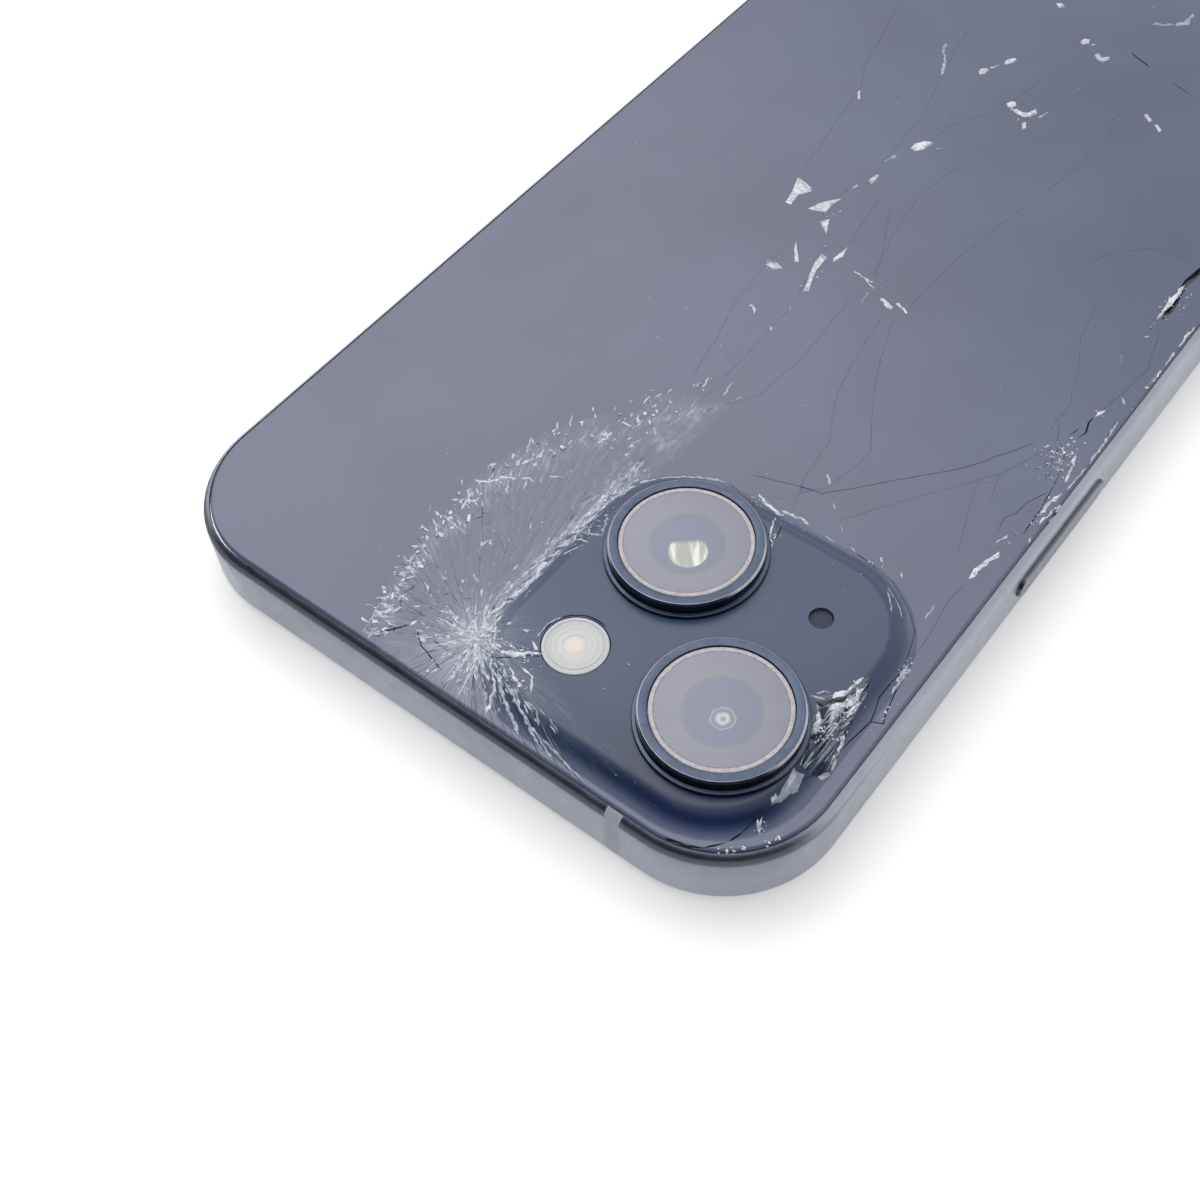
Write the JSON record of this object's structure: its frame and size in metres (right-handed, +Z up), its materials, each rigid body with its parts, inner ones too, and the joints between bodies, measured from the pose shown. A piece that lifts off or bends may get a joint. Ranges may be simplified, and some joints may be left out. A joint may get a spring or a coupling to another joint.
{
  "type": "smartphone with shattered back glass",
  "caption": "Slim slab phone lying on its screen, with a raised corner plateau for two cameras and a flash, and a cracked glass back with chips missing.",
  "frame": {"origin": "middle of the screen's outer face, which is the face the phone lies on", "axes": "+X to the right and +Y towards the top end when the back is seen from above, +Z up out of the back"},
  "size_m": [0.0722, 0.1466, 0.0109],
  "materials": {
    "band": "anodised dark slate, fine satin",
    "break_plastic": "moulded grey-blue plastic",
    "back_glass": "slate-blue backed glass, glossy, shattered",
    "steel": "stamped",
    "seal": "foam adhesive",
    "copper": "enamelled copper winding",
    "shield": "dark ferrite sheet",
    "magnet": "nickel plated",
    "lens_ring": "anodised, blasted, bright edge",
    "lens_window": "polished, coated",
    "lens_barrel": "black with a coated front element",
    "black_plastic": "moulded",
    "flash_window": "milky white lens with rings",
    "flash_lamp": "phosphor",
    "mesh": "fine woven mesh",
    "gold_case": "plated cans",
    "screen_glass": "black behind, glossy",
    "screen_panel": "black panel",
    "cell": "wrapped cell",
    "board": "solder mask",
    "band_parts": "anodised to match the band",
    "switch_case": "stamped dome switches",
    "tungsten": "sintered heavy metal",
    "socket": "drawn shell",
    "flex": "amber film"
  },
  "bodies": {
    "phone": {"frame": "band", "antenna_breaks": "break_plastic", "back_glass": "back_glass", "back_plate": "steel", "back_seal": "seal", "charging_coil": "copper", "coil_shield": "shield", "magnet_ring": "magnet", "wide_lens_ring": "lens_ring", "main_lens_ring": "lens_ring", "wide_lens_window": "lens_window", "main_lens_window": "lens_window", "wide_camera_housing": "black_plastic", "main_camera_housing": "black_plastic", "wide_lens_barrel": "lens_barrel", "camera_tray": "steel", "flash_window": "flash_window", "flash_lamp": "flash_lamp", "rear_mic_mesh": "mesh", "rear_mic": "gold_case", "screen_glass": "screen_glass", "screen_panel": "screen_panel", "screen_frame": "black_plastic", "screen_seal": "seal", "front_camera": "black_plastic", "earpiece_speaker": "black_plastic", "earpiece_mesh": "mesh", "light_sensor": "gold_case", "antenna_carrier": "black_plastic", "battery": "cell", "battery_strips": "seal", "main_board": "board", "interposer": "board", "radio_board": "board", "board_chips": "black_plastic", "board_screws": "steel", "card_reader": "steel", "loudspeaker": "black_plastic", "haptic_case": "steel", "left_haptic_spring": "steel", "right_haptic_spring": "steel", "charging_port": "socket", "charging_flex": "flex", "end_screws": "band_parts", "bottom_mic": "gold_case", "sound_meshes": "mesh", "side_switch": "switch_case", "volume_switches": "switch_case", "ring_switch_body": "switch_case", "screen_flex": "flex", "battery_flex": "flex"},
    "side_button": {"side_button": "band_parts"},
    "volume_up_button": {"volume_up_button": "band_parts"},
    "volume_down_button": {"volume_down_button": "band_parts"},
    "ring_switch": {"ring_switch": "band_parts"},
    "card_tray": {"card_tray": "band_parts"},
    "focus_barrel": {"main_lens_barrel": "lens_barrel"},
    "haptic_mass": {"haptic_mass": "tungsten"}
  },
  "joints": [
    {"name": "side_button_press", "type": "slide", "parent": "phone", "child": "side_button", "axis": [1, 0, 0], "range_m": [0, 0.00025], "stiffness_N_per_m": 600},
    {"name": "volume_up_press", "type": "slide", "parent": "phone", "child": "volume_up_button", "axis": [-1, 0, 0], "range_m": [0, 0.00025], "stiffness_N_per_m": 600},
    {"name": "volume_down_press", "type": "slide", "parent": "phone", "child": "volume_down_button", "axis": [-1, 0, 0], "range_m": [0, 0.00025], "stiffness_N_per_m": 600},
    {"name": "ring_switch_slide", "type": "slide", "parent": "phone", "child": "ring_switch", "axis": [0, 0, -1], "range_m": [0, 0.0011]},
    {"name": "card_tray_slide", "type": "slide", "parent": "phone", "child": "card_tray", "axis": [1, 0, 0], "range_m": [0, 0.0125]},
    {"name": "focus_slide", "type": "slide", "parent": "phone", "child": "focus_barrel", "axis": [0, 0, 1], "range_m": [0, 0.00025], "stiffness_N_per_m": 100},
    {"name": "haptic_slide", "type": "slide", "parent": "phone", "child": "haptic_mass", "axis": [1, 0, 0], "range_m": [-0.0008, 0.0008], "stiffness_N_per_m": 400, "deforming": ["left_haptic_spring", "right_haptic_spring"]}
  ]
}
